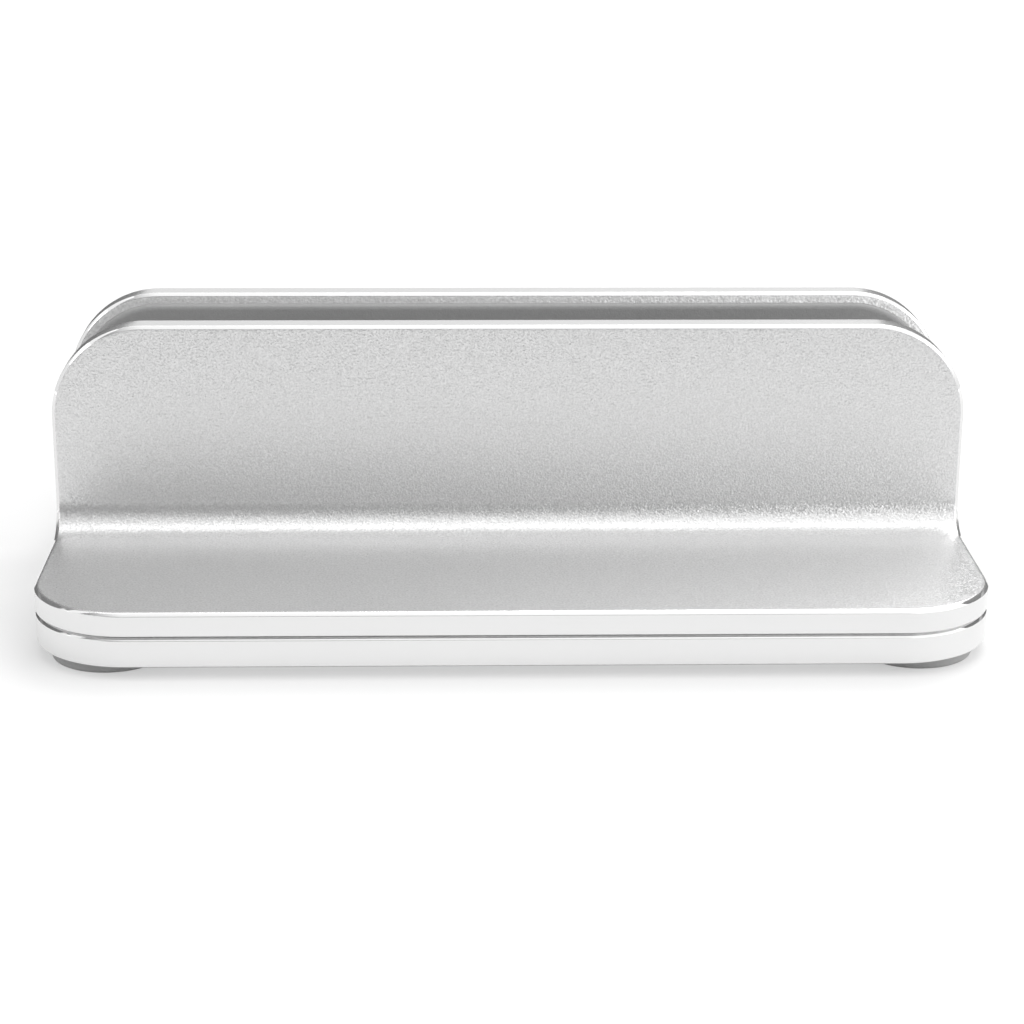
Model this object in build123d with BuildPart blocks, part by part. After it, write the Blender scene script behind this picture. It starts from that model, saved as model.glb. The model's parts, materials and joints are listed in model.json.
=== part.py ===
"""Vertical laptop stand: two padded L brackets on a base plate, one fixed and one sliding to set the gap.

Frame: +X along the stand's width, +Y from the fixed front bracket to the sliding rear one, +Z up.
The origin is under the middle of the base, on the surface that the feet stand on. Sizes are in millimetres.
The sliding bracket is modelled at its narrowest gap, as photographed.
"""
import os

from build123d import *

# Base plate and brackets
width = 170.0
corner_radius = 17.5
base_thickness = 5.5
flange_depth = 45.0
flange_thickness = 4.5
plate_thickness = 5.0
bracket_height = 43.8
bend_fillet = 6.0
rim_chamfer = 0.6
seam_chamfer = 0.3
base_edge_break = 0.2

# Laptop gap, between the bare plates
closed_gap = 21.0
slide_travel = 20.0

# Silicone pads
pad_thickness = 1.3
pad_margin = 2.0
pad_foot_radius = 3.0
pad_edge_radius = 0.8
floor_pad_thickness = 1.5
floor_pad_corner_radius = 2.0
floor_pad_chamfer = 0.5
pad_clearance = 0.5

# Rubber feet
foot_diameter = 21.0
foot_inset = 13.6
foot_show = 2.2
foot_recess = 1.0
foot_chamfer = 0.5
foot_clearance = 0.3

# Low-head hex socket screws and the washers of the sliding bracket
thread_diameter = 4.0
screw_length = 8.0
screw_spacing = 100.0
screw_setback = 1.0
head_diameter = 7.0
head_height = 2.2
head_chamfer = 0.4
socket_across_flats = 2.5
socket_depth = 1.4
washer_diameter = 9.0
washer_bore_clearance = 0.15
washer_thickness = 0.8
thread_clearance = 0.05
slot_clearance = 0.3
slot_web = 2.3
bore_end_clearance = 0.5

# Heights above the surface
base_bottom = foot_show
base_top = base_bottom + base_thickness
flange_top = base_top + flange_thickness
bracket_top = base_top + bracket_height
washer_seat = base_top - slot_web
head_seat = washer_seat - washer_thickness
screw_tip = head_seat + screw_length
pad_bottom = base_top + floor_pad_thickness + pad_clearance

# Places in plan
bracket_depth = flange_depth + plate_thickness
base_depth = 2 * bracket_depth + closed_gap + slide_travel
fixed_front = -base_depth / 2
fixed_outer = fixed_front + flange_depth
fixed_inner = fixed_front + bracket_depth
gap_middle = fixed_inner + closed_gap / 2
screw_x = screw_spacing / 2
fixing_y = fixed_outer + screw_setback
clamp_y = 2 * gap_middle - fixing_y
slot_middle = clamp_y + slide_travel / 2
foot_x = width / 2 - foot_inset
foot_y = base_depth / 2 - foot_inset
gap_plane = Plane((0, gap_middle, 0), z_dir=(0, 1, 0))


def outline(faces):
    """Edges round a group of joined faces, without the edges that two of them share."""
    edges = ShapeList(edge for face in faces for edge in face.edges())
    return edges.filter_by(lambda edge: edges.count(edge) == 1)


# Base plate, drilled from below for the fixing screws, the clamp slots and the feet
with BuildPart() as base_plate:
    with BuildSketch(Plane.XY.offset(base_bottom)):
        RectangleRounded(width, base_depth, corner_radius)
    extrude(amount=base_thickness)
    chamfer(base_plate.faces().sort_by(Axis.Z)[-1].edges(), rim_chamfer)
    chamfer(base_plate.faces().sort_by(Axis.Z)[0].edges(), base_edge_break)
    with Locations(*[Plane((x, fixing_y, base_bottom), z_dir=(0, 0, -1)) for x in (-screw_x, screw_x)]):
        CounterBoreHole(
            radius=thread_diameter / 2 + slot_clearance,
            counter_bore_radius=head_diameter / 2 + slot_clearance,
            counter_bore_depth=head_seat - base_bottom,
            depth=base_thickness,
        )
    with BuildSketch(Plane.XY.offset(base_bottom)):
        with Locations((-screw_x, slot_middle), (screw_x, slot_middle)):
            SlotCenterToCenter(slide_travel, thread_diameter + 2 * slot_clearance, rotation=90)
    extrude(amount=base_thickness, mode=Mode.SUBTRACT)
    with BuildSketch(Plane.XY.offset(base_bottom)):
        with Locations((-screw_x, slot_middle), (screw_x, slot_middle)):
            SlotCenterToCenter(slide_travel, washer_diameter + 2 * slot_clearance, rotation=90)
    extrude(amount=washer_seat - base_bottom, mode=Mode.SUBTRACT)
    with BuildSketch(Plane.XY.offset(base_bottom)):
        with GridLocations(2 * foot_x, 2 * foot_y, 2, 2):
            Circle(foot_diameter / 2 + foot_clearance)
    extrude(amount=foot_recess, mode=Mode.SUBTRACT)

# Fixed bracket: an L section with a concave bend, its free corners rounded and its rims chamfered
with BuildPart() as fixed_bracket:
    with BuildSketch(Plane.YZ):
        with BuildLine():
            Polyline(
                (fixed_front, base_top),
                (fixed_inner, base_top),
                (fixed_inner, bracket_top),
                (fixed_outer, bracket_top),
                (fixed_outer, flange_top),
                (fixed_front, flange_top),
                close=True,
            )
        section = make_face()
        bend = section.vertices().sort_by_distance((fixed_outer, flange_top))[0]
        fillet(bend, bend_fillet)
    extrude(amount=width / 2, both=True)
    fillet(fixed_bracket.edges().filter_by(Axis.Y).group_by(Axis.Z)[-1], corner_radius)
    fillet(fixed_bracket.edges().filter_by(Axis.Z).group_by(Axis.Y)[0], corner_radius)
    plate_outer = fixed_bracket.faces().filter_by(Axis.Y).sort_by(Axis.Y)[1]
    flange_upper = fixed_bracket.faces().filter_by(Axis.Z).sort_by(Axis.Z)[1]
    bend_face = fixed_bracket.faces().filter_by(GeomType.CYLINDER).sort_by(SortBy.AREA)[-1]
    chamfer(outline([plate_outer, bend_face, flange_upper]), rim_chamfer)
    plate_inner = fixed_bracket.faces().filter_by(Axis.Y).sort_by(Axis.Y)[-1]
    chamfer(plate_inner.edges().sort_by(Axis.Z)[1:], rim_chamfer)
    underside = fixed_bracket.faces().sort_by(Axis.Z)[0]
    chamfer(underside.edges(), seam_chamfer)
    with BuildSketch(Plane.XY.offset(base_top)):
        with Locations((-screw_x, fixing_y), (screw_x, fixing_y)):
            Circle(thread_diameter / 2 + thread_clearance)
    extrude(amount=screw_tip + bore_end_clearance - base_top, mode=Mode.SUBTRACT)

# Sliding bracket: the same L turned to face the fixed one across the gap
with BuildPart() as sliding_bracket:
    mirror(fixed_bracket.part, about=gap_plane)

# Pad on the fixed plate, set in from its outline, with a soft front edge
with BuildPart() as fixed_bracket_pad:
    with BuildSketch(Plane((0, fixed_inner, 0), x_dir=(-1, 0, 0), z_dir=(0, 1, 0))) as pad_outline:
        pad_height = bracket_top - pad_margin - pad_bottom
        with Locations((0, pad_bottom + pad_height / 2)):
            Rectangle(width - 2 * pad_margin, pad_height)
        fillet(pad_outline.vertices().group_by(Axis.Y)[-1], corner_radius - pad_margin)
        fillet(pad_outline.vertices().group_by(Axis.Y)[0], pad_foot_radius)
    extrude(amount=pad_thickness)
    fillet(fixed_bracket_pad.faces().sort_by(Axis.Y)[-1].edges(), pad_edge_radius)

# Pad on the sliding plate
with BuildPart() as sliding_bracket_pad:
    mirror(fixed_bracket_pad.part, about=gap_plane)

# Strip on the base that the laptop's edge stands on, clear of both plates
with BuildPart() as slot_floor_pad:
    with BuildSketch(Plane.XY.offset(base_top)):
        with Locations((0, gap_middle)):
            RectangleRounded(width - 2 * pad_margin, closed_gap - 2 * pad_clearance, floor_pad_corner_radius)
    extrude(amount=floor_pad_thickness)
    chamfer(slot_floor_pad.faces().sort_by(Axis.Z)[-1].edges(), floor_pad_chamfer)

# Rubber feet in round recesses under the corners
with BuildPart() as foot_front_left:
    with BuildSketch(Plane.XY):
        with Locations((-foot_x, -foot_y)):
            Circle(foot_diameter / 2)
    extrude(amount=foot_show + foot_recess)
    chamfer(foot_front_left.edges().group_by(Axis.Z)[0], foot_chamfer)

with BuildPart() as foot_front_right:
    mirror(foot_front_left.part, about=Plane.YZ)

with BuildPart() as foot_rear_left:
    mirror(foot_front_left.part, about=Plane.XZ)

with BuildPart() as foot_rear_right:
    mirror(foot_front_right.part, about=Plane.XZ)

# Clamp screw: a plain shank for the thread, and a low head with a hexagon socket
with BuildPart() as clamp_screw_left:
    with BuildSketch(Plane.XY.offset(head_seat)):
        with Locations((-screw_x, clamp_y)):
            Circle(head_diameter / 2)
    extrude(amount=-head_height)
    chamfer(clamp_screw_left.edges().group_by(Axis.Z)[0], head_chamfer)
    with BuildSketch(Plane.XY.offset(head_seat)):
        with Locations((-screw_x, clamp_y)):
            Circle(thread_diameter / 2)
    extrude(amount=screw_length)
    with BuildSketch(Plane.XY.offset(head_seat - head_height)):
        with Locations((-screw_x, clamp_y)):
            RegularPolygon(socket_across_flats / 2, 6, major_radius=False)
    extrude(amount=socket_depth, mode=Mode.SUBTRACT)

with BuildPart() as clamp_screw_right:
    mirror(clamp_screw_left.part, about=Plane.YZ)

# Washers between the clamp screws' heads and the slots
with BuildPart() as clamp_washer_left:
    with BuildSketch(Plane.XY.offset(head_seat)):
        with Locations((-screw_x, clamp_y)):
            Circle(washer_diameter / 2)
            Circle(thread_diameter / 2 + washer_bore_clearance, mode=Mode.SUBTRACT)
    extrude(amount=washer_thickness)

with BuildPart() as clamp_washer_right:
    mirror(clamp_washer_left.part, about=Plane.YZ)

# Fixing screws of the front bracket, the same as the clamp screws
with BuildPart() as fixing_screw_left:
    mirror(clamp_screw_left.part, about=gap_plane)

with BuildPart() as fixing_screw_right:
    mirror(clamp_screw_right.part, about=gap_plane)

pieces = {
    "base_plate": base_plate,
    "fixed_bracket": fixed_bracket,
    "sliding_bracket": sliding_bracket,
    "fixed_bracket_pad": fixed_bracket_pad,
    "sliding_bracket_pad": sliding_bracket_pad,
    "slot_floor_pad": slot_floor_pad,
    "foot_front_left": foot_front_left,
    "foot_front_right": foot_front_right,
    "foot_rear_left": foot_rear_left,
    "foot_rear_right": foot_rear_right,
    "fixing_screw_left": fixing_screw_left,
    "fixing_screw_right": fixing_screw_right,
    "clamp_screw_left": clamp_screw_left,
    "clamp_screw_right": clamp_screw_right,
    "clamp_washer_left": clamp_washer_left,
    "clamp_washer_right": clamp_washer_right,
}
os.makedirs("parts", exist_ok=True)
for name, piece in pieces.items():
    piece.part.label = name
    export_step(piece.part, f"parts/{name}.step")
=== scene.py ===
"""Looks of a vertical laptop stand: bead-blasted aluminium brackets, silicone pads, rubber feet and screws.

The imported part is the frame. Each piece takes its place from it, in metres, and rides on its body.
"""
import json
import math
from typing import NamedTuple

import bmesh
import bpy
import numpy as np
from bpy.props import FloatProperty, FloatVectorProperty, PointerProperty
from mathutils import Matrix, Vector
from mathutils.geometry import delaunay_2d_cdt

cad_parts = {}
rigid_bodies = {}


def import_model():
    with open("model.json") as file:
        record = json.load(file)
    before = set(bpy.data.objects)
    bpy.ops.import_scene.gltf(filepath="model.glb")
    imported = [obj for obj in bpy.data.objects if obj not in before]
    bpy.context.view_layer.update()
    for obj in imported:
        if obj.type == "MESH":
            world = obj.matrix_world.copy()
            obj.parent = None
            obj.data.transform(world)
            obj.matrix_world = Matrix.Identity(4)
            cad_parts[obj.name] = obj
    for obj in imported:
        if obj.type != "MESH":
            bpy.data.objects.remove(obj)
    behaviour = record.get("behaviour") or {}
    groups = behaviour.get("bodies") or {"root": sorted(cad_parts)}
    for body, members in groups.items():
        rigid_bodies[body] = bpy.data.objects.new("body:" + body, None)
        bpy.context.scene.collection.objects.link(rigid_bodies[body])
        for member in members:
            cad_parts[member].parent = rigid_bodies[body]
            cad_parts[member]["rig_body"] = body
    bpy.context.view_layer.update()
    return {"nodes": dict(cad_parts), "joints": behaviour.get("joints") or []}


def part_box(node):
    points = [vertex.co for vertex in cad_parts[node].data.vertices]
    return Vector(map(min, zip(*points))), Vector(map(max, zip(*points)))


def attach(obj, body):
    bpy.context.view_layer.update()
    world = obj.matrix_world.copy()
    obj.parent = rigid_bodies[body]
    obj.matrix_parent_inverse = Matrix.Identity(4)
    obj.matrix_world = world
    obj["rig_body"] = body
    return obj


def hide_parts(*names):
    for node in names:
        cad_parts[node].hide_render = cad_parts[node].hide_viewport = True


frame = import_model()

bl_info = {
    "name": "Vertical laptop stand",
    "version": (1, 0, 0),
    "blender": (4, 5, 0),
    "location": "View3D > Sidebar > Stand",
    "description": "Builds the visible pieces of a vertical laptop stand and the studio around it",
    "category": "Object",
}

JOINTS = {joint["name"]: joint for joint in frame["joints"]}

# Values of the finish attribute on aluminium
LEANT = -2.0
# Painted shade: lower edges where a part meets the base or the floor are darkened for the shadow in the seam
PAINTED_SEAM_SHADE = -1.0
BLASTED = 0.0
MACHINED = 1.0
BRIGHT_CUT = 2.0

# Finishes of a rim from its upper face over the chamfer to the wall
UPPER_FINISHES = (BLASTED, BRIGHT_CUT, MACHINED)

# How finely round shapes are divided
CORNER_STEPS = 32
BEND_STEPS = 24
HALF_HOLE_STEPS = 24
TURN_STEPS = 72
EDGE_STEPS = 4
ROWS_PER_PITCH = 10

# Flat strip beside an eased ridge, in eases, and the share of the floor pad's chamfer that an ease takes
SUPPORT_EASES = 2
PAD_EASE_SHARE = 1 / 3

# Points closer than this are one, and edges sharper than this stay sharp
WELD = 1e-7
SHARP_ANGLE = math.radians(32)

# Kind of result that the Delaunay function gives
TRIANGLES_WITHOUT_HOLES = 2

# Aluminium: size of its grit and clouds, and how much they and the beads change it
GRIT_FINENESS = 2.2
ALUMINIUM_CLOUDS = 0.02
BEAD_TONE = 0.15
GRIT_TONE = 0.08
CLOUD_TONE = 0.012
GRIT_ROUGHNESS = 0.05
CLOUD_ROUGHNESS = 0.01
GRIT_DEPTH = 0.5
MACHINED_SMOOTHING = 0.9
MARGIN_LEAN = 0.49
ANODISED_METAL = 0.8
FACET_MIDDLE = (0.5, 0.5, 0.5)

# Silicone and rubber: the same for dust, clouds and the skin
DUST_COARSENESS = 3
RUBBER_CLOUDS = 0.015
SKIN_TONE = 0.08
DUST_TONE = 0.06
RUBBER_CLOUD_TONE = 0.04
SKIN_ROUGHNESS = 0.06
RUBBER_CLOUD_ROUGHNESS = 0.03
DUST_DEPTH = 0.5

# Steel: the same for clouds and turning marks
STEEL_CLOUDS = 0.002
STEEL_CLOUD_CHANGE = 0.05
MARK_CHANGE = 0.06

# Camera: sensor in millimetres, nearest and farthest distance in metres
SENSOR_WIDTH = 36.0
CLIP_START = 0.01
CLIP_END = 100.0

# Floor, and the distances from the stand between which its glow changes
FLOOR_CORNERS = ((-3.0, -0.45, 0.0), (3.0, -0.45, 0.0), (3.0, 4.0, 0.0), (-3.0, 4.0, 0.0))
GLOW_ENDS = (0.2, 0.6)

# Lean of the dome's bright top towards the right, and the heights between which it grows brighter
DOME_LEAN = math.radians(25)
DOME_ENDS = (0.42, 0.92)

WHITE = (1.0, 1.0, 1.0, 1.0)
FLAG_COLOUR = (0.1, 0.1, 0.1, 1.0)
STAND_MIDDLE = (0.0, 0.0, 0.02)


class Softbox(NamedTuple):
    """Where a softbox stands, the point it faces, its width and height, and the property of its light."""

    place: tuple
    target: tuple
    size: tuple
    light: str


class Flag(NamedTuple):
    """Plan of a dark upright board from start to end, and its lower and upper edge."""

    start: tuple
    end: tuple
    low: float
    high: float


SOFTBOXES = {
    "overhead_softbox": Softbox((0.12, -0.03, 1.0), (0.12, -0.03, 0.0), (1.2, 0.1), "overhead_light"),
    "right_softbox": Softbox((0.85, -0.75, 0.55), STAND_MIDDLE, (0.95, 0.95), "right_light"),
    "rear_softbox": Softbox((0.42, 0.68, 1.05), STAND_MIDDLE, (0.7, 0.8), "rear_light"),
    "left_softbox": Softbox((-0.85, -0.75, 0.75), STAND_MIDDLE, (0.6, 0.6), "left_light"),
    "left_strip": Softbox((-0.8, -0.13, 0.7), STAND_MIDDLE, (0.2, 0.8), "strip_light"),
    "front_softbox": Softbox((0.5, -1.08, 0.36), STAND_MIDDLE, (0.5, 0.35), "front_light"),
    "backdrop": Softbox((0.0, 1.2, 0.45), (0.0, 0.0, 0.45), (0.7, 0.9), "backdrop_light"),
    "left_panel": Softbox((-1.2, -0.3, 0.5), (0.0, -0.3, 0.5), (0.9, 1.0), "side_light"),
    "low_left_panel": Softbox((-1.2, 0.55, 0.12), (0.0, 0.55, 0.12), (0.8, 0.24), "side_light"),
    "right_panel": Softbox((1.2, -0.3, 0.5), (0.0, -0.3, 0.5), (0.9, 1.0), "side_light"),
    "low_right_panel": Softbox((1.2, 0.55, 0.12), (0.0, 0.55, 0.12), (0.8, 0.24), "side_light"),
}
FLAGS = {
    "left_flag": Flag((-0.95, 0.15), (-0.55, 0.75), 0.28, 0.75),
    "right_flag": Flag((0.95, 0.15), (0.55, 0.75), 0.28, 0.75),
    "low_left_flag": Flag((-0.6, 0.22), (-0.11, 0.22), 0.0, 0.1),
    "low_right_flag": Flag((0.12, 0.22), (0.6, 0.22), 0.0, 0.1),
}


def span(node):
    """Lowest and highest corner of a node, as arrays."""
    low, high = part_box(node)
    return np.array(low), np.array(high)


def round_span(node):
    """Middle, radius, lowest and highest level of a round upright node."""
    low, high = span(node)
    return (low + high) / 2, (high[0] - low[0]) / 2, low[2], high[2]


def length(name, description, default):
    """A length in metres that a user may change."""
    return FloatProperty(
        name=name, description=description, default=default, min=0.0, precision=5, unit="LENGTH"
    )


def share(name, description, default):
    """A number from nothing to all."""
    return FloatProperty(
        name=name, description=description, default=default, min=0.0, max=1.0, subtype="FACTOR"
    )


def colour(name, description, grey):
    """A colour, given as its grey level in linear light."""
    return FloatVectorProperty(
        name=name, description=description, default=(grey, grey, grey), min=0.0, max=1.0, subtype="COLOR"
    )


def angle(name, description, default):
    """An angle in radians."""
    return FloatProperty(name=name, description=description, default=default, subtype="ANGLE")


def brightness(name, description, default):
    """How bright a lamp or the dome looks, where 1 is white."""
    return FloatProperty(name=name, description=description, default=default, min=0.0)


class StandSizes(bpy.types.PropertyGroup):
    """Sizes that the boxes of the nodes don't give."""

    corner_radius: length("Corner radius", "Corners of the base and free corners of the brackets", 0.0175)
    plate_thickness: length("Plate thickness", "Upright plates of the brackets", 0.005)
    flange_thickness: length("Flange thickness", "Flanges of the brackets, on the base", 0.0045)
    bend_fillet: length("Bend fillet", "Hollow between a bracket's flange and plate", 0.006)
    rim_chamfer: length("Rim chamfer", "Bright chamfer round the rims", 0.0006)
    seam_chamfer: length("Seam chamfer", "Chamfer round the brackets' undersides", 0.0003)
    base_edge: length("Base edge", "Broken lower edge of the base", 0.0002)
    face_ease: length("Face easing", "Softened ridge between a broad face and its chamfer", 0.0003)
    edge_ease: length("Edge easing", "Softened ridges of the other edges", 0.00006)
    pad_edge: length("Pad edge", "Round front edge of the upright pads", 0.001)
    pad_foot_radius: length("Pad foot radius", "Lower corners of the upright pads", 0.003)
    floor_pad_radius: length("Floor pad radius", "Plan corners of the floor pad", 0.002)
    floor_pad_chamfer: length("Floor pad chamfer", "Upper edge of the floor pad", 0.0005)
    foot_edge: length("Foot edge", "Round lower edge of the rubber feet", 0.0005)
    recess_depth: length("Foot recess", "Depth of the round recesses for the feet", 0.001)
    recess_clearance: length("Recess clearance", "Room round the feet, heads and washers", 0.0003)
    thread_diameter: length("Thread diameter", "Nominal diameter of the screws", 0.004)
    thread_depth: length("Thread depth", "Depth of the screws' thread", 0.0004)
    bore_clearance: length("Bore clearance", "Radial room in the brackets' screw bores", 0.00005)
    bore_end: length("Bore end", "Room above the screws' tips", 0.0005)
    washer_room: length("Washer bore", "Radial room between a washer and its screw", 0.00015)
    washer_ease: length("Washer easing", "Rolled edges of the washers", 0.00015)
    head_height: length("Head height", "Heads of the screws", 0.0022)
    head_ease: length("Head easing", "Eased outer rim of the screws' heads", 0.0004)
    seat_ease: length("Seat easing", "Rim of the screws' heads at their seat", 0.0001)
    socket_flats: length("Socket flats", "Hexagon socket, across its flats", 0.0025)
    socket_depth: length("Socket depth", "Depth of the hexagon socket", 0.0014)


class StandFinishes(bpy.types.PropertyGroup):
    """Colours and grain of the materials."""

    face: colour("Blasted aluminium", "Broad bead-blasted faces", 0.77)
    wall: colour("Machined aluminium", "Side walls of the plates", 0.84)
    cut: colour("Cut chamfer", "Bright-cut chamfers", 0.82)
    # Painted shade: a darker colour on the lower edges where the parts meet, in place of the shadow in the
    # seam
    painted_seam_shade: colour("Shaded seam", "Lower edges that were left as milled", 0.4)
    face_roughness: share("Blasted roughness", "Roughness of the blasted faces", 0.31)
    wall_roughness: share("Machined roughness", "Roughness of the side walls", 0.24)
    cut_roughness: share("Chamfer roughness", "Roughness of the chamfers", 0.06)
    bead_size: length("Bead size", "Width of the dimples that blasting leaves", 0.00038)
    dimple_depth: length("Dimple depth", "Depth of those dimples", 0.000017)
    facet_size: length("Facet size", "Width of the flat spots between dimples", 0.00022)
    facet_lean: share("Facet lean", "How far the flat spots lean, each its own way", 0.14)
    silicone: colour("Silicone", "Pads that hold the laptop", 0.35)
    silicone_roughness: share("Silicone roughness", "Roughness of the pads", 0.55)
    silicone_grain: length("Silicone grain", "Width of the pads' texture", 0.0003)
    rubber: colour("Rubber", "Feet", 0.46)
    rubber_roughness: share("Rubber roughness", "Roughness of the feet", 0.6)
    rubber_grain: length("Rubber grain", "Width of the feet's texture", 0.0004)
    skin_depth: length("Skin depth", "Depth of both textures", 0.00002)
    steel: colour("Steel", "Screws and washers", 0.56)
    steel_roughness: share("Steel roughness", "Roughness of the screws and washers", 0.3)
    mark_size: length("Mark size", "Width of the turning marks on steel", 0.00025)
    mark_depth: length("Mark depth", "Depth of the turning marks on steel", 0.000008)


class StandStage(bpy.types.PropertyGroup):
    """Camera, floor and light."""

    camera_place: FloatVectorProperty(
        name="Camera", description="Where the camera stands", default=(-0.011863, -0.47145, 0.16385),
        subtype="TRANSLATION", unit="LENGTH",
    )
    camera_lens: FloatProperty(name="Lens", description="Focal length, in millimetres", default=87.64)
    camera_pitch: angle("Pitch", "Camera tilted down", 0.32129)
    camera_yaw: angle("Yaw", "Camera turned right", 0.0277)
    camera_roll: angle("Roll", "Camera leaning left", 0.00525)
    floor: colour("Floor", "Pale floor, as it scatters light", 0.5)
    floor_glow: share("Floor glow", "White that the floor adds to what is seen of it", 0.42)
    backdrop_glow: share("Backdrop glow", "White that the floor adds away from the stand", 0.5)
    horizon_light: brightness("Horizon light", "Dome, low down", 0.22)
    zenith_light: brightness("Zenith light", "Dome, high up", 1.3)
    overhead_light: brightness("Overhead light", "Long softbox straight above", 2.4)
    right_light: brightness("Right light", "Large softbox at the right", 1.05)
    rear_light: brightness("Rear light", "Softbox behind and above", 3.5)
    left_light: brightness("Left light", "Softbox at the left", 1.6)
    strip_light: brightness("Strip light", "Upright strip at the left", 0.9)
    front_light: brightness("Front light", "Low softbox in front", 1.2)
    side_light: brightness("Side light", "Panels at the sides", 0.75)
    backdrop_light: brightness("Backdrop light", "Board behind", 0.55)


def linked(name, data):
    """A new object in the scene, of a mesh, lamp or camera."""
    made = bpy.data.objects.new(name, data)
    bpy.context.scene.collection.objects.link(made)
    return made


class Shell:
    """Points and faces of one piece, gathered patch by patch and welded where patches meet."""

    def __init__(self):
        self.points = []
        self.finish = []
        self.faces = []
        self.count = 0

    def add(self, points, finish):
        """Adds points, an array (..., 3), and gives back their numbers in the same layout."""
        layout = points.shape[:-1]
        size = math.prod(layout)
        self.points.append(points.reshape(size, 3))
        self.finish.append(np.broadcast_to(finish, layout).reshape(size))
        numbers = self.count + np.arange(size).reshape(layout)
        self.count += size
        return numbers

    def grid(self, points, finish=BLASTED, closed=True):
        """Joins neighbours of a grid (rows, columns, 3) by quads; closed joins its last and first column."""
        numbers = self.add(points, finish)
        if closed:
            numbers = np.concatenate((numbers, numbers[:, :1]), axis=1)
        quads = np.stack((numbers[:-1, :-1], numbers[1:, :-1], numbers[1:, 1:], numbers[:-1, 1:]), axis=-1)
        self.faces += quads.reshape(-1, 4).tolist()

    def flat(self, loop, finish=BLASTED):
        """One flat face inside a loop (N, 3)."""
        self.faces.append(self.add(loop, finish).tolist())

    def pierced(self, loops, height, upward):
        """A level face inside the first loop (N, 2) and outside the others, as Delaunay triangles."""
        counts = [len(loop) for loop in loops]
        starts = np.repeat(np.cumsum(counts) - counts, counts)
        places = np.arange(sum(counts)) - starts
        nexts = starts + (places + 1) % np.repeat(counts, counts)
        edges = np.stack((np.arange(sum(counts)), nexts), axis=1)
        outer = [list(range(counts[0]))]
        plan, _, triangles, *_ = delaunay_2d_cdt(
            np.concatenate(loops).tolist(), edges.tolist(), outer, TRIANGLES_WITHOUT_HOLES, WELD
        )
        level = np.insert(np.array(plan, float), 2, height, axis=1)
        numbers = self.add(level, BLASTED)
        corners = numbers[np.array(triangles)]
        self.faces += (corners if upward else corners[:, ::-1]).tolist()

    def mesh(self, name):
        """The points and faces as a mesh, with its patches still apart."""
        mesh = bpy.data.meshes.new(name)
        mesh.from_pydata(np.concatenate(self.points).tolist(), [], self.faces)
        return mesh

    def piece(self, name, node, material):
        """Makes the object that stands for a node, welded and shaded smooth, which rides the node's body.

        The finish lies on face corners, so that patches with unlike finishes keep them where they meet.
        """
        mesh = self.mesh(name)
        corners = np.empty(len(mesh.loops), np.int32)
        mesh.loops.foreach_get("vertex_index", corners)
        finish = mesh.attributes.new("finish", "FLOAT", "CORNER")
        finish.data.foreach_set("value", np.concatenate(self.finish)[corners].astype(np.float32))
        welded = bmesh.new()
        welded.from_mesh(mesh)
        bmesh.ops.remove_doubles(welded, verts=welded.verts, dist=WELD)
        bmesh.ops.dissolve_degenerate(welded, edges=welded.edges, dist=WELD)
        welded.to_mesh(mesh)
        welded.free()
        mesh.shade_smooth()
        mesh.set_sharp_from_angle(angle=SHARP_ANGLE)
        mesh.materials.append(shared_material(material))
        made = linked(name, mesh)
        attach(made, frame["nodes"][node]["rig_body"])
        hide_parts(node)

    def prop(self, name, material):
        """Makes an object of the studio, which isn't part of the stand."""
        mesh = self.mesh(name)
        mesh.materials.append(material)
        return linked(name, mesh)


def outline(half_width, low, high, low_radius, high_radius, stops=()):
    """Rounded rectangle, counter-clockwise from the middle of its high side: points and outward normals.

    Each corner is a quarter circle, centre + radius * (cos a, sin a). Stops are heights kept on both sides.
    """
    turn = np.linspace(0, math.pi / 2, CORNER_STEPS + 1)
    stops = np.asarray(stops, float)

    def corner(x, y, radius, start):
        normal = np.stack((np.cos(start + turn), np.sin(start + turn)), axis=1)
        return np.array((x, y)) + radius * normal, normal

    def side(x, heights):
        normal = np.tile((math.copysign(1, x), 0.0), (len(heights), 1))
        return np.stack((np.full(len(heights), x), heights), axis=1), normal

    runs = (
        corner(high_radius - half_width, high - high_radius, high_radius, math.pi / 2),
        side(-half_width, stops[::-1]),
        corner(low_radius - half_width, low + low_radius, low_radius, math.pi),
        corner(half_width - low_radius, low + low_radius, low_radius, 1.5 * math.pi),
        side(half_width, stops),
        corner(half_width - high_radius, high - high_radius, high_radius, 0),
    )
    points, normals = zip(*runs)
    return np.concatenate(points), np.concatenate(normals)


def section(corners, finishes, eases):
    """Section of an edge through corners (K, N, 2): straight runs, with each inner corner eased.

    An ease runs from a point a before the corner c to a point b after it, as (1-t)^2 a + 2t(1-t) c + t^2 b.
    Eases are the distances of a and b from c, one for each inner corner or for each of its N places.
    Each run has its finish, and an ease blends the two beside it. Returns points (P, N, 2), finishes (P, 1).
    """
    before, corner, after = corners[:-2], corners[1:-1], corners[2:]
    reach = np.reshape(eases, (len(corner), -1, 1))

    def towards(other):
        run = other - corner
        return corner + reach * run / np.linalg.norm(run, axis=-1, keepdims=True)

    t = np.linspace(0, 1, EDGE_STEPS + 1).reshape(1, -1, 1, 1)
    a, c, b = (part[:, None] for part in (towards(before), corner, towards(after)))
    eased = (1 - t) ** 2 * a + 2 * t * (1 - t) * c + t ** 2 * b
    finishes = np.array(finishes)
    blend = t.reshape(1, -1)
    mixed = finishes[:-1, None] * (1 - blend) + finishes[1:, None] * blend
    points = np.concatenate((corners[:1], eased.reshape(-1, *corners.shape[1:]), corners[-1:]))
    return points, np.concatenate((finishes[:1], mixed.ravel(), finishes[-1:]))[:, None]


def corner_list(*corners):
    """Corners of a section that is the same all along, as (K, 1, 2)."""
    return np.array(corners, float)[:, None, :]


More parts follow.
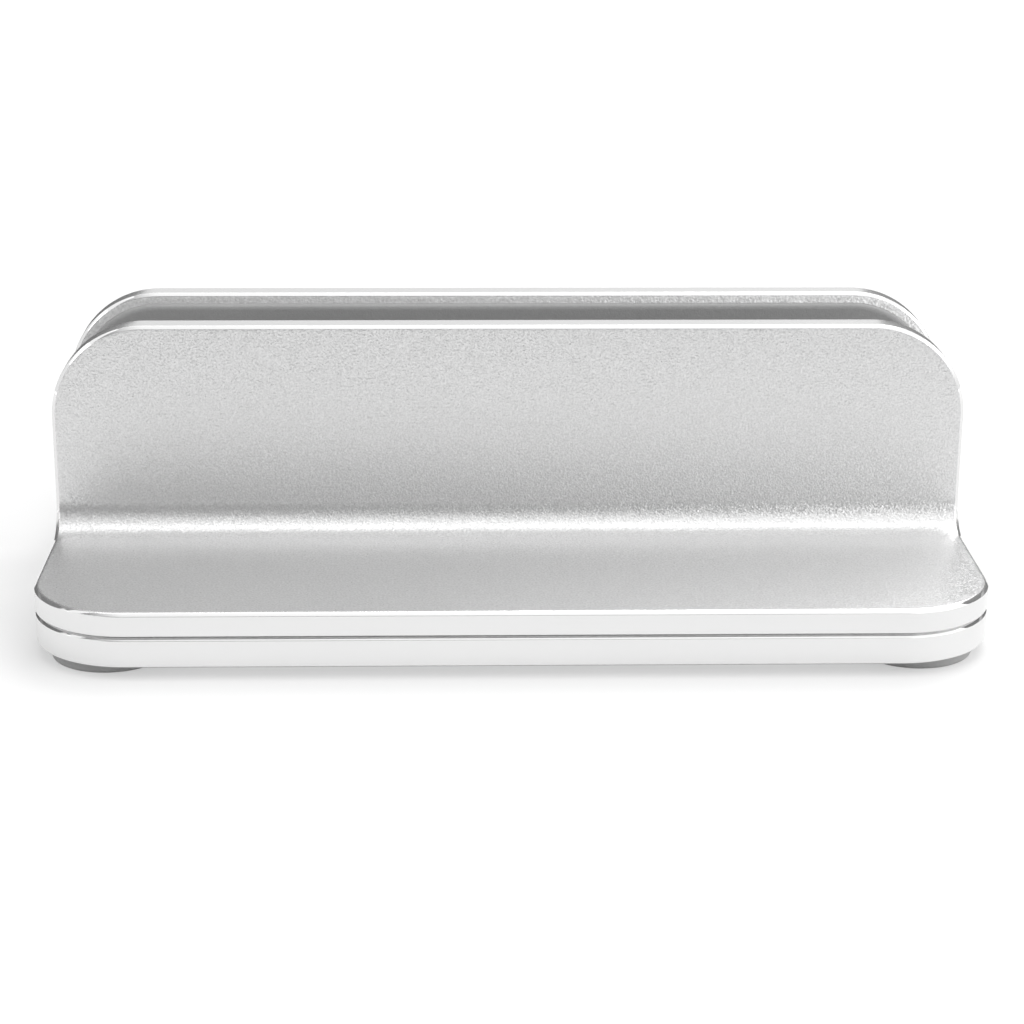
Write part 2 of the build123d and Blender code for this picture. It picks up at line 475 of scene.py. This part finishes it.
def rim_corners(chamfer, support, top, bottom, lower_chamfer):
    """Corners of a rim's section of (inset, height): face, chamfer, wall, chamfer, face."""
    return (
        (chamfer + support, top),
        (chamfer, top),
        (0, top - chamfer),
        (0, bottom + lower_chamfer),
        (lower_chamfer, bottom),
        (lower_chamfer + support, bottom),
    )


def carried(points, normals, profile):
    """Carries a section of (inset, height) round an outline: (outline - inset * normal, height)."""
    plan = points - profile[..., :1] * normals
    height = np.broadcast_to(profile[..., 1:], plan.shape[:-1] + (1,))
    return np.concatenate((plan, height), axis=-1)


def turned(profile, centre):
    """Turns a section of (radius, height), the same all round or not, about an upright axis.

    A point is centre + radius * (cos a, sin a), at its height, for each step a of a full turn.
    """
    turn = np.linspace(0, 2 * math.pi, TURN_STEPS, endpoint=False)
    radius, height = profile[..., 0], profile[..., 1]
    level = np.broadcast_to(height, (len(height), TURN_STEPS))
    return np.stack((centre[0] + radius * np.cos(turn), centre[1] + radius * np.sin(turn), level), axis=-1)


def slot_loop(centre, reach, radius):
    """Loop of a slot along Y: two half circles of the radius about points that lie reach apart."""
    half = np.linspace(0, math.pi, HALF_HOLE_STEPS + 1)
    turn = np.concatenate((half, half + math.pi))
    shift = np.repeat((reach / 2, -reach / 2), HALF_HOLE_STEPS + 1)
    return np.stack((centre[0] + radius * np.cos(turn), centre[1] + shift + radius * np.sin(turn)), axis=1)


def bore(shell, centre, reach, profile):
    """Wall of a hole: slot loops of the radii and heights in the profile, listed upwards."""
    rings = [np.insert(slot_loop(centre, reach, radius), 2, height, axis=1) for radius, height in profile]
    shell.grid(np.stack(rings), MACHINED)


def half_turn(points, middle):
    """Turns points by half a turn about the upright axis through (0, middle)."""
    return np.stack((-points[..., 0], 2 * middle - points[..., 1], points[..., 2]), axis=-1)


class Number:
    """A number that a node gives. Arithmetic on it adds Math nodes."""

    def __init__(self, nodes, socket):
        self.nodes = nodes
        self.socket = socket

    def combined(self, operation, first, second):
        """Adds a Math node that works on two numbers."""
        return self.nodes.add("ShaderNodeMath", {"operation": operation}, {0: first, 1: second})

    def __add__(self, other):
        return self.combined("ADD", self, other)

    def __sub__(self, other):
        return self.combined("SUBTRACT", self, other)

    def __rsub__(self, other):
        return self.combined("SUBTRACT", other, self)

    def __mul__(self, other):
        return self.combined("MULTIPLY", self, other)

    def at_most(self, other):
        """The smaller of two numbers."""
        return self.combined("MINIMUM", self, other)

    def at_least(self, other):
        """The larger of two numbers."""
        return self.combined("MAXIMUM", self, other)

    __radd__ = __add__
    __rmul__ = __mul__


class Nodes:
    """The node tree of a material or the world, cleared and written afresh."""

    def __init__(self, owner):
        owner.use_nodes = True
        self.tree = owner.node_tree
        self.tree.nodes.clear()

    def add(self, kind, settings=None, inputs=None, output=0):
        """Adds a node of any kind: its settings first, then the values or links of its sockets."""
        node = self.tree.nodes.new(kind)
        for name, value in (settings or {}).items():
            setattr(node, name, value)
        for name, value in (inputs or {}).items():
            if isinstance(value, Number):
                self.tree.links.new(value.socket, node.inputs[name])
            else:
                node.inputs[name].default_value = value
        return Number(self, node.outputs[output]) if len(node.outputs) else None

    def place(self):
        """Where a point lies on its piece, in metres."""
        return self.add("ShaderNodeTexCoord", output="Object")

    def blend(self, factor, first, second, mode="MIX"):
        """Mixes two colours."""
        settings = {"data_type": "RGBA", "blend_type": mode}
        return self.add("ShaderNodeMix", settings, {"Factor": factor, 6: first, 7: second}, output=2)

    def lift(self, base, factor):
        """A colour times a number."""
        grey = self.add("ShaderNodeCombineColor", None, {"Red": factor, "Green": factor, "Blue": factor})
        return self.blend(1.0, base, grey, "MULTIPLY")

    def vector(self, operation, inputs, output=0):
        """Adds a Vector Math node."""
        return self.add("ShaderNodeVectorMath", {"operation": operation}, inputs, output)

    def noise(self, place, size, detail=2.0):
        """Soft noise with features of about this size, from -1 to 1."""
        inputs = {"Vector": place, "Scale": 1 / size, "Detail": detail}
        return self.add("ShaderNodeTexNoise", {"noise_dimensions": "3D"}, inputs) * 2 - 1

    def bump(self, distance, height):
        """The normal of a relief, whose height counts in steps of the distance."""
        return self.add("ShaderNodeBump", None, {"Strength": 1.0, "Distance": distance, "Height": height})

    def smooth_step(self, value, ends, levels):
        """Goes smoothly from the first level to the second as the value goes from one end to the other."""
        names = ("Value", "From Min", "From Max", "To Min", "To Max")
        inputs = dict(zip(names, (value, *ends, *levels)))
        return self.add("ShaderNodeMapRange", {"interpolation_type": "SMOOTHSTEP"}, inputs)

    def principled(self, inputs):
        """Ends a material with a Principled shader."""
        self.surface(self.add("ShaderNodeBsdfPrincipled", None, inputs))

    def surface(self, shader):
        """Ends a material."""
        self.add("ShaderNodeOutputMaterial", None, {"Surface": shader})


def opaque(value):
    """A colour property as the four numbers of a socket."""
    return (*value, 1.0)


def new_material(name):
    """An empty material and its nodes."""
    material = bpy.data.materials.new(name)
    return material, Nodes(material)


def aluminium(name, finishes):
    """Silver anodised aluminium: dimpled blasted faces, machined walls and bright cuts, by attribute."""
    material, nodes = new_material(name)
    place = nodes.place()
    finish = nodes.add("ShaderNodeAttribute", {"attribute_name": "finish"}, output="Fac")
    # Shares of the finishes. A cut is also machined, and faces with painted seam shade and leant faces are
    # also blasted
    leant = (PAINTED_SEAM_SHADE - finish).at_least(0.0)
    painted_seam_shade = (BLASTED - finish).at_least(0.0) - leant * 2.0
    machined = finish.at_most(MACHINED).at_least(0.0)
    cut = (finish - MACHINED).at_least(0.0)
    blasted = 1 - machined
    beads = nodes.noise(place, finishes.bead_size, detail=0.0)
    grit = nodes.noise(place, finishes.bead_size / GRIT_FINENESS, detail=0.0)
    clouds = nodes.noise(place, ALUMINIUM_CLOUDS, detail=3.0)
    tone = nodes.blend(machined, opaque(finishes.face), opaque(finishes.wall))
    tone = nodes.blend(cut, tone, opaque(finishes.cut))
    # Painted shade: the seams' darker colour stands in for their shadow
    tone = nodes.blend(painted_seam_shade, tone, opaque(finishes.painted_seam_shade))
    tone = nodes.lift(tone, 1 + blasted * (beads * BEAD_TONE + grit * GRIT_TONE) + clouds * CLOUD_TONE)
    rough = finishes.face_roughness * blasted + finishes.wall_roughness * (machined - cut)
    rough = rough + finishes.cut_roughness * cut + grit * blasted * GRIT_ROUGHNESS + clouds * CLOUD_ROUGHNESS
    height = nodes.add("ShaderNodeSeparateXYZ", None, {0: place}, output="Z")
    unsmoothed = (1 - machined * MACHINED_SMOOTHING) * (1 - cut)
    dimples = (beads + grit * GRIT_DEPTH) * unsmoothed * finishes.dimple_depth
    relief = nodes.bump(1.0, dimples - leant * height * MARGIN_LEAN)
    # Flat spots, each with a normal that leans its own way
    cells = {"Vector": place, "Scale": 1 / finishes.facet_size}
    facet = nodes.add("ShaderNodeTexVoronoi", None, cells, output="Color")
    lean = nodes.vector("SUBTRACT", {0: facet, 1: FACET_MIDDLE})
    lean = nodes.vector("SCALE", {0: lean, "Scale": blasted * finishes.facet_lean})
    normal = nodes.vector("NORMALIZE", {0: nodes.vector("ADD", {0: relief, 1: lean})})
    nodes.principled({"Base Color": tone, "Metallic": ANODISED_METAL, "Roughness": rough, "Normal": normal})
    return material


def soft_rubber(name, base, roughness, grain, depth):
    """Matt moulded silicone or rubber with a fine skin, whose texture has the size grain and a depth."""
    material, nodes = new_material(name)
    place = nodes.place()
    skin = nodes.noise(place, grain)
    dust = nodes.noise(place, grain * DUST_COARSENESS)
    clouds = nodes.noise(place, RUBBER_CLOUDS, detail=3.0)
    tone = nodes.lift(opaque(base), 1 + skin * SKIN_TONE + dust * DUST_TONE + clouds * RUBBER_CLOUD_TONE)
    rough = roughness + skin * SKIN_ROUGHNESS + clouds * RUBBER_CLOUD_ROUGHNESS
    relief = nodes.bump(depth, skin + dust * DUST_DEPTH)
    nodes.principled({"Base Color": tone, "Roughness": rough, "Normal": relief})
    return material


def silicone(name, finishes):
    """Grey silicone of the pads."""
    grain = finishes.silicone_grain
    return soft_rubber(name, finishes.silicone, finishes.silicone_roughness, grain, finishes.skin_depth)


def rubber(name, finishes):
    """Grey rubber of the feet."""
    grain = finishes.rubber_grain
    return soft_rubber(name, finishes.rubber, finishes.rubber_roughness, grain, finishes.skin_depth)


def steel(name, finishes):
    """Plain stainless steel with fine turning marks."""
    material, nodes = new_material(name)
    place = nodes.place()
    marks = nodes.noise(place, finishes.mark_size)
    clouds = nodes.noise(place, STEEL_CLOUDS, detail=3.0)
    change = marks * MARK_CHANGE + clouds * STEEL_CLOUD_CHANGE
    tone = nodes.lift(opaque(finishes.steel), 1 + change)
    rough = finishes.steel_roughness + change
    relief = nodes.bump(finishes.mark_depth, marks)
    nodes.principled({"Base Color": tone, "Metallic": 1.0, "Roughness": rough, "Normal": relief})
    return material


MATERIALS = {
    "blasted_aluminium": aluminium,
    "matt_silicone": silicone,
    "moulded_rubber": rubber,
    "turned_steel": steel,
}


def shared_material(name):
    """The material of that name, made at its first use."""
    return bpy.data.materials.get(name) or MATERIALS[name](name, bpy.context.scene.stand_finishes)


class STAND_OT_base_plate(bpy.types.Operator):
    """Base plate: a rounded slab with chamfered rims, slots, screw recesses and foot recesses below"""

    bl_idname = "stand.base_plate"
    bl_label = "Base plate"

    def execute(self, context):
        sizes = context.scene.stand_sizes
        low, high = span("base_plate")
        bottom, top = low[2], high[2]
        points, normals = outline(high[0], low[1], high[1], sizes.corner_radius, sizes.corner_radius)
        ease = sizes.edge_ease
        support = SUPPORT_EASES * sizes.face_ease
        eases = (sizes.face_ease, ease, ease, ease)
        corners = corner_list(*rim_corners(sizes.rim_chamfer, support, top, bottom, sizes.base_edge))
        # The base's lower edge, against the floor, gets painted shade
        profile, finish = section(corners, (*UPPER_FINISHES, PAINTED_SEAM_SHADE, BLASTED), eases)
        rim = carried(points, normals, profile)
        shell = Shell()
        shell.grid(rim, finish)
        room = sizes.recess_clearance
        through = sizes.thread_diameter / 2 + room
        travel = JOINTS["bracket_slide"]["range_m"][1]
        ceiling = bottom + sizes.recess_depth
        upper_holes = []
        lower_holes = []

        def hole(centre, reach, profile):
            bore(shell, centre, reach, profile)
            lower_holes.append(slot_loop(centre, reach, profile[0][0]))
            if profile[-1][1] == top:
                upper_holes.append(slot_loop(centre, reach, profile[-1][0]))

        def stepped(centre, reach, wide, seat):
            hole(centre, reach, [(wide, bottom), (wide, seat), (through, seat), (through, top)])

        for side in ("left", "right"):
            middle, radius, head_bottom, _ = round_span(f"fixing_screw_{side}")
            stepped(middle, 0, radius + room, head_bottom + sizes.head_height)
            middle, radius, _, washer_top = round_span(f"clamp_washer_{side}")
            stepped(middle + np.array((0, travel / 2, 0)), travel, radius + room, washer_top)
            for end in ("front", "rear"):
                middle, radius, *_ = round_span(f"foot_{end}_{side}")
                wide = radius + room
                hole(middle, 0, [(wide, bottom), (wide, ceiling), (0, ceiling)])
        shell.pierced([rim[0, :, :2], *upper_holes], top, upward=True)
        shell.pierced([rim[-1, :, :2], *lower_holes], bottom, upward=False)
        shell.piece("blasted_base_plate", "base_plate", "blasted_aluminium")
        return {"FINISHED"}


class Bend:
    """A bracket laid out flat and folded into an L.

    Distance s runs from the flange's free edge along its upper face, round the hollow and up the plate's
    outer face. A point at the share n of the thickness lies at outer(s) + n * (inner(s) - outer(s)).
    """

    def __init__(self, sizes):
        low, high = span("fixed_bracket")
        self.front, self.back = low[1], high[1]
        self.bottom, self.top = low[2], high[2]
        self.half_width = high[0]
        self.fillet = sizes.bend_fillet
        self.flange_top = self.bottom + sizes.flange_thickness
        self.seam = sizes.seam_chamfer
        self.start = self.back - sizes.plate_thickness - self.fillet - self.front
        self.end = self.start + self.fillet * math.pi / 2
        self.total = self.end + self.top - self.flange_top - self.fillet
        self.stops = np.linspace(self.start, self.end, BEND_STEPS)
        self.heel = self.stops[BEND_STEPS // 2 - 1:BEND_STEPS // 2 + 1]

    def outer(self, s):
        """Straight flange, quarter circle of the fillet's radius, straight plate: depth and height."""
        turn = np.clip((s - self.start) / self.fillet, 0, math.pi / 2)
        depth = self.front + np.minimum(s, self.start) + self.fillet * np.sin(turn)
        height = self.flange_top + self.fillet * (1 - np.cos(turn)) + np.maximum(s - self.end, 0)
        return np.stack((depth, height), axis=-1)

    def inner(self, s):
        """Straight underside and back, which meet at the heel's small chamfer: depth and height."""
        edge, wall = self.heel
        depths = (self.front, self.front + self.start, self.back - self.seam, self.back)
        heights = (self.bottom, self.bottom + self.seam, self.flange_top + self.fillet, self.top)
        depth = np.interp(s, (0, self.start, edge, wall), depths)
        height = np.interp(s, (edge, wall, self.end, self.total), heights)
        return np.stack((depth, height), axis=-1)

    def thickness(self, s):
        """Distance from the outer to the inner side."""
        return np.linalg.norm(self.inner(s) - self.outer(s), axis=-1)

    def fold(self, x, s, share_of_thickness):
        """Places points of the flat layout."""
        outer = self.outer(s)
        section_place = outer + share_of_thickness[..., None] * (self.inner(s) - outer)
        return np.concatenate((x[..., None], section_place), axis=-1)


def bracket_shell(sizes, place):
    """One bracket: the rim carried round its flat layout and folded, and the faces inside it.

    Returns it without its underside, and the loop that the underside fills.
    """
    bend = Bend(sizes)
    chamfer, ease, radius = sizes.rim_chamfer, sizes.edge_ease, sizes.corner_radius
    support = SUPPORT_EASES * sizes.face_ease
    stops = np.concatenate(((bend.start - support,), bend.stops, (bend.end + support,)))
    points, normals = outline(bend.half_width, 0, bend.total, radius, radius, stops)
    s = points[:, 1]
    depth = bend.thickness(s)
    inner_chamfer = np.interp(s, (bend.start, bend.end), (sizes.seam_chamfer, chamfer))
    face_ease = np.interp(s, (bend.start, bend.end), (sizes.face_ease, ease))
    eases = np.stack(np.broadcast_arrays(face_ease, ease, ease, ease))
    levels = rim_corners(chamfer, support, depth, np.zeros_like(depth), inner_chamfer)
    corners = np.array([np.stack(np.broadcast_arrays(*level, depth)[:2], axis=-1) for level in levels])
    # The seam chamfer under the flange, where it sits on the base, gets painted shade
    profile, on_flange = section(corners, (*UPPER_FINISHES, PAINTED_SEAM_SHADE, BLASTED), eases)
    on_plate = section(corners, (*UPPER_FINISHES, BRIGHT_CUT, LEANT), eases)[1]
    finish = np.where(s > bend.heel[0] + WELD, on_plate, on_flange)
    flat = carried(points, normals, profile)
    rim = bend.fold(flat[..., 0], flat[..., 1], 1 - flat[..., 2] / depth)
    shell = Shell()
    shell.grid(place(rim), finish)

    def strip(ring, first, last):
        inside = (s >= first - WELD) & (s <= last + WELD)
        left = ring[inside & (points[:, 0] < 0)][::-1]
        right = ring[inside & (points[:, 0] > 0)]
        shell.grid(place(np.stack((left, right))), BLASTED, closed=False)

    outer, inner = rim[0], rim[-1]
    flange_end, plate_start = stops[0], stops[-1]
    edge, wall = bend.heel
    shell.flat(place(outer[s <= flange_end + WELD]))
    strip(outer, flange_end, plate_start)
    shell.flat(place(outer[s >= plate_start - WELD]))
    shell.flat(place(inner[s >= wall - WELD][::-1]), LEANT)
    strip(inner[::-1], edge, wall)
    return shell, place(inner[s <= edge + WELD])[:, :2]


class STAND_OT_brackets(bpy.types.Operator):
    """Front and rear brackets: one L, bent with a hollow fillet, and the same turned to face it"""

    bl_idname = "stand.brackets"
    bl_label = "Brackets"

    def execute(self, context):
        sizes = context.scene.stand_sizes
        radius = sizes.thread_diameter / 2 + sizes.bore_clearance
        middle = (span("fixed_bracket")[1][1] + span("sliding_bracket")[0][1]) / 2
        places = {"fixed": np.asarray, "sliding": lambda points: half_turn(points, middle)}
        screws = {"fixed": "fixing", "sliding": "clamp"}
        for kind, place in places.items():
            shell, underside = bracket_shell(sizes, place)
            bottom = span(f"{kind}_bracket")[0][2]
            loops = [underside]
            for side in ("left", "right"):
                centre, _, _, tip = round_span(f"{screws[kind]}_screw_{side}")
                ceiling = tip + sizes.bore_end
                bore(shell, centre, 0, [(radius, bottom), (radius, ceiling), (0, ceiling)])
                loops.append(slot_loop(centre, 0, radius))
            shell.pierced(loops, bottom, upward=False)
            shell.piece(f"blasted_{kind}_bracket", f"{kind}_bracket", "blasted_aluminium")
        return {"FINISHED"}


def sheet_shell(rim, finish):
    """A sheet: its rim as a grid, and a flat face inside the rim's first and last loop."""
    shell = Shell()
    shell.grid(rim, finish)
    shell.flat(rim[0])
    shell.flat(rim[-1, ::-1])
    return shell


class STAND_OT_pads(bpy.types.Operator):
    """Silicone pads: a sheet with a soft edge on each plate, and a strip on the base between them"""

    bl_idname = "stand.pads"
    bl_label = "Silicone pads"

    def execute(self, context):
        sizes = context.scene.stand_sizes
        edge, ease = sizes.pad_edge, sizes.edge_ease
        support = SUPPORT_EASES * ease
        low, high = span("sliding_bracket_pad")
        top_radius = sizes.corner_radius - (span("sliding_bracket")[1][0] - high[0])
        middle = (span("fixed_bracket_pad")[0][1] + high[1]) / 2
        points, normals = outline(high[0], low[2], high[2], sizes.pad_foot_radius, top_radius)
        corners = corner_list((edge + support, low[1]), (0, low[1]), (0, high[1]), (support, high[1]))
        profile, finish = section(corners, (BLASTED,) * 3, (edge, ease))
        sheet = carried(points, normals, profile)[..., [0, 2, 1]]
        for kind, rim in (("sliding", sheet), ("fixed", half_turn(sheet, middle))):
            shell = sheet_shell(rim, finish)
            shell.piece(f"silicone_{kind}_pad", f"{kind}_bracket_pad", "matt_silicone")
        low, high = span("slot_floor_pad")
        radius, chamfer = sizes.floor_pad_radius, sizes.floor_pad_chamfer
        soft = chamfer * PAD_EASE_SHARE
        points, normals = outline(high[0], low[1], high[1], radius, radius)
        upper = ((chamfer + support, high[2]), (chamfer, high[2]), (0, high[2] - chamfer))
        corners = corner_list(*upper, (0, low[2]), (support, low[2]))
        profile, finish = section(corners, (BLASTED,) * 4, (soft, soft, ease))
        shell = sheet_shell(carried(points, normals, profile), finish)
        shell.piece("silicone_floor_pad", "slot_floor_pad", "matt_silicone")
        return {"FINISHED"}


class STAND_OT_feet(bpy.types.Operator):
    """Rubber feet: turned discs with a round lower edge, set in the base's recesses"""

    bl_idname = "stand.feet"
    bl_label = "Feet"

    def execute(self, context):
        sizes = context.scene.stand_sizes
        for name in ("front_left", "front_right", "rear_left", "rear_right"):
            middle, radius, bottom, top = round_span(f"foot_{name}")
            corners = corner_list((0, top), (radius, top), (radius, bottom), (0, bottom))
            profile, finish = section(corners, (BLASTED,) * 3, (sizes.edge_ease, sizes.foot_edge))
            shell = Shell()
            shell.grid(turned(profile, middle), finish)
            shell.piece(f"rubber_foot_{name}", f"foot_{name}", "moulded_rubber")
        return {"FINISHED"}


def screw_points(sizes, name, pitch):
    """Rings of a screw from its tip to the floor of its socket, as radius over angle and height.

    The thread's radius is root + depth * w, where w = |2 f - 1| is a triangle wave of the fraction f of
    height / pitch - angle / 360 degrees, fading out at both ends. The socket's is flats / 2 / cos(b), where
    b is the angle from the middle of the nearest flat, and its corners lie at flats / sqrt(3).
    """
    turn = np.linspace(0, 2 * math.pi, TURN_STEPS, endpoint=False)
    middle, radius, bottom, tip = round_span(name)
    seat = bottom + sizes.head_height
    rows = math.ceil((tip - seat) / pitch * ROWS_PER_PITCH)
    rise = np.linspace(tip, seat, rows)[:, None]
    wave = np.abs(2 * ((rise / pitch - turn / (2 * math.pi)) % 1) - 1)
    fade = np.clip(np.minimum(tip - rise, rise - seat) / pitch, 0, 1)
    shank = sizes.thread_diameter / 2
    thread = shank - sizes.thread_depth * (1 - wave * fade)
    mouth = sizes.socket_flats / math.sqrt(3)
    corners = corner_list((shank, seat), (radius, seat), (radius, bottom), (mouth, bottom))
    head = section(corners, (MACHINED,) * 3, (sizes.seat_ease, sizes.head_ease))[0][:, 0]
    sixth = math.pi / 3
    hexagon = sizes.socket_flats / 2 / np.cos((turn + sixth / 2) % sixth - sixth / 2)[None]
    floor = bottom + sizes.socket_depth
    lead_in = bottom + (mouth - sizes.socket_flats / 2)
    axis = np.zeros_like(hexagon)
    head_rings = np.broadcast_to(head[:, :1], (len(head), TURN_STEPS))
    radii = np.concatenate((axis, thread, head_rings, hexagon, hexagon, axis))
    heights = np.concatenate(((tip,), rise[:, 0], head[:, 1], (lead_in, floor, floor)))
    return turned(np.stack(np.broadcast_arrays(radii, heights[:, None]), axis=-1), middle)


class STAND_OT_screws(bpy.types.Operator):
    """Screws: a threaded shank above a low head with a hexagon socket"""

    bl_idname = "stand.screws"
    bl_label = "Screws"

    def execute(self, context):
        pitch = JOINTS["left_washer_drop"]["range_m"][1]
        for name in ("fixing_screw_left", "fixing_screw_right", "clamp_screw_left", "clamp_screw_right"):
            shell = Shell()
            shell.grid(screw_points(context.scene.stand_sizes, name, pitch), MACHINED)
            shell.piece(f"steel_{name}", name, "turned_steel")
        return {"FINISHED"}


class STAND_OT_washers(bpy.types.Operator):
    """Washers: flat rings with rolled edges between the clamp screws' heads and the slots"""

    bl_idname = "stand.washers"
    bl_label = "Washers"

    def execute(self, context):
        sizes = context.scene.stand_sizes
        for name in ("clamp_washer_left", "clamp_washer_right"):
            middle, outer, bottom, top = round_span(name)
            inner = sizes.thread_diameter / 2 + sizes.washer_room
            start = ((outer + inner) / 2, top)
            rims = ((outer, top), (outer, bottom), (inner, bottom), (inner, top))
            corners = corner_list(start, *rims, start)
            eases = (sizes.washer_ease,) * len(rims)
            profile, finish = section(corners, (MACHINED,) * (len(rims) + 1), eases)
            shell = Shell()
            shell.grid(turned(profile, middle), finish)
            shell.piece(f"steel_{name}", name, "turned_steel")
        return {"FINISHED"}


def seen_directly(nodes):
    """One on rays from the camera and on those that metal or glass sends on, and nothing on the rest."""
    kinds = ("Is Camera Ray", "Is Glossy Ray", "Is Transmission Ray")
    camera, glossy, through = (nodes.add("ShaderNodeLightPath", output=kind) for kind in kinds)
    return camera.at_least(glossy).at_least(through)


class STAND_OT_stage(bpy.types.Operator):
    """Stage: camera, pale floor that keeps the shadow, dark flags, a soft dome and softboxes"""

    bl_idname = "stand.stage"
    bl_label = "Stage"

    def execute(self, context):
        stage = context.scene.stand_stage
        self.camera(context.scene, stage)
        self.floor(stage)
        self.flags()
        self.world(context.scene, stage)
        self.softboxes(stage)
        context.scene.view_settings.view_transform = "Standard"
        return {"FINISHED"}

    def camera(self, scene, stage):
        """Turns a camera that looks down first by its roll, then up to its pitch, then to its yaw."""
        data = bpy.data.cameras.new("camera")
        data.lens = stage.camera_lens
        data.sensor_width = SENSOR_WIDTH
        data.clip_start = CLIP_START
        data.clip_end = CLIP_END
        camera = linked("camera", data)
        turn = (
            Matrix.Rotation(-stage.camera_yaw, 4, "Z")
            @ Matrix.Rotation(math.pi / 2 - stage.camera_pitch, 4, "X")
            @ Matrix.Rotation(stage.camera_roll, 4, "Z")
        )
        camera.matrix_world = Matrix.Translation(stage.camera_place) @ turn
        scene.camera = camera

    def floor(self, stage):
        """A wide sheet that ends under the camera, and whose upper side shows."""
        shell = Shell()
        shell.flat(np.array(FLOOR_CORNERS))
        material, nodes = new_material("pale_floor")
        away = nodes.vector("LENGTH", {0: nodes.place()}, "Value")
        spread = nodes.smooth_step(away, GLOW_ENDS, (stage.floor_glow, stage.backdrop_glow))
        white = nodes.lift(WHITE, spread * seen_directly(nodes))
        glow = nodes.add("ShaderNodeEmission", None, {"Color": white, "Strength": 1.0})
        matt = nodes.add("ShaderNodeBsdfDiffuse", None, {"Color": opaque(stage.floor)})
        both = nodes.add("ShaderNodeAddShader", None, {0: matt, 1: glow})
        below = nodes.add("ShaderNodeNewGeometry", output="Backfacing")
        clear = nodes.add("ShaderNodeBsdfTransparent")
        nodes.surface(nodes.add("ShaderNodeMixShader", None, {0: below, 1: both, 2: clear}))
        material.cycles.emission_sampling = "NONE"
        floor = shell.prop("pale_floor", material)

    def flags(self):
        """Dark boards behind the stand, at the left and right, which only reflections show."""
        material, nodes = new_material("dark_flag")
        nodes.surface(nodes.add("ShaderNodeBsdfDiffuse", None, {"Color": FLAG_COLOUR}))
        for name, board in FLAGS.items():
            rows = [[(*board.start, level), (*board.end, level)] for level in (board.low, board.high)]
            shell = Shell()
            shell.grid(np.array(rows), closed=False)
            flag = shell.prop(name, material)
            flag.visible_camera = False
            flag.visible_diffuse = False
            flag.visible_shadow = False

    def world(self, scene, stage):
        """A soft dome that grows brighter upwards, and white where the camera looks past the floor."""
        world = bpy.data.worlds.new("studio")
        nodes = Nodes(world)
        way = nodes.add("ShaderNodeTexCoord", output="Generated")
        axis = (math.sin(DOME_LEAN), 0.0, math.cos(DOME_LEAN))
        height = nodes.vector("DOT_PRODUCT", {0: way, 1: axis}, "Value")
        dome = nodes.smooth_step(height, DOME_ENDS, (stage.horizon_light, stage.zenith_light))
        camera = nodes.add("ShaderNodeLightPath", output="Is Camera Ray")
        strength = dome * (1 - camera) + camera
        light = nodes.add("ShaderNodeBackground", None, {"Color": WHITE, "Strength": strength})
        nodes.add("ShaderNodeOutputWorld", None, {"Surface": light})
        scene.world = world

    def softboxes(self, stage):
        """Area lamps, each aimed at a point. The power of one is brightness * pi * area."""
        for name, box in SOFTBOXES.items():
            data = bpy.data.lights.new(name, "AREA")
            data.shape = "RECTANGLE"
            data.size, data.size_y = box.size
            data.energy = getattr(stage, box.light) * math.pi * math.prod(box.size)
            lamp = linked(name, data)
            lamp.location = box.place
            aim = Vector(box.target) - Vector(box.place)
            lamp.rotation_euler = aim.to_track_quat("-Z", "Y").to_euler()


OPERATORS = (
    STAND_OT_base_plate,
    STAND_OT_brackets,
    STAND_OT_pads,
    STAND_OT_feet,
    STAND_OT_screws,
    STAND_OT_washers,
    STAND_OT_stage,
)


class STAND_PT_panel(bpy.types.Panel):
    """The steps that build the stand, and their values"""

    bl_label = "Laptop stand"
    bl_idname = "STAND_PT_panel"
    bl_space_type = "VIEW_3D"
    bl_region_type = "UI"
    bl_category = "Stand"

    def draw(self, context):
        for operator in OPERATORS:
            self.layout.operator(operator.bl_idname)
        for group in (context.scene.stand_sizes, context.scene.stand_finishes, context.scene.stand_stage):
            box = self.layout.box()
            for name in group.__annotations__:
                box.prop(group, name)


CLASSES = (StandSizes, StandFinishes, StandStage, *OPERATORS, STAND_PT_panel)


def register():
    """Adds the classes and the scene's groups of values."""
    for kind in CLASSES:
        bpy.utils.register_class(kind)
    bpy.types.Scene.stand_sizes = PointerProperty(type=StandSizes)
    bpy.types.Scene.stand_finishes = PointerProperty(type=StandFinishes)
    bpy.types.Scene.stand_stage = PointerProperty(type=StandStage)


def unregister():
    """Takes them away again."""
    del bpy.types.Scene.stand_stage
    del bpy.types.Scene.stand_finishes
    del bpy.types.Scene.stand_sizes
    for kind in reversed(CLASSES):
        bpy.utils.unregister_class(kind)


def main():
    """Builds every piece and the stage."""
    register()
    bpy.ops.stand.base_plate()
    bpy.ops.stand.brackets()
    bpy.ops.stand.pads()
    bpy.ops.stand.feet()
    bpy.ops.stand.screws()
    bpy.ops.stand.washers()
    bpy.ops.stand.stage()


if __name__ == "__main__":
    main()
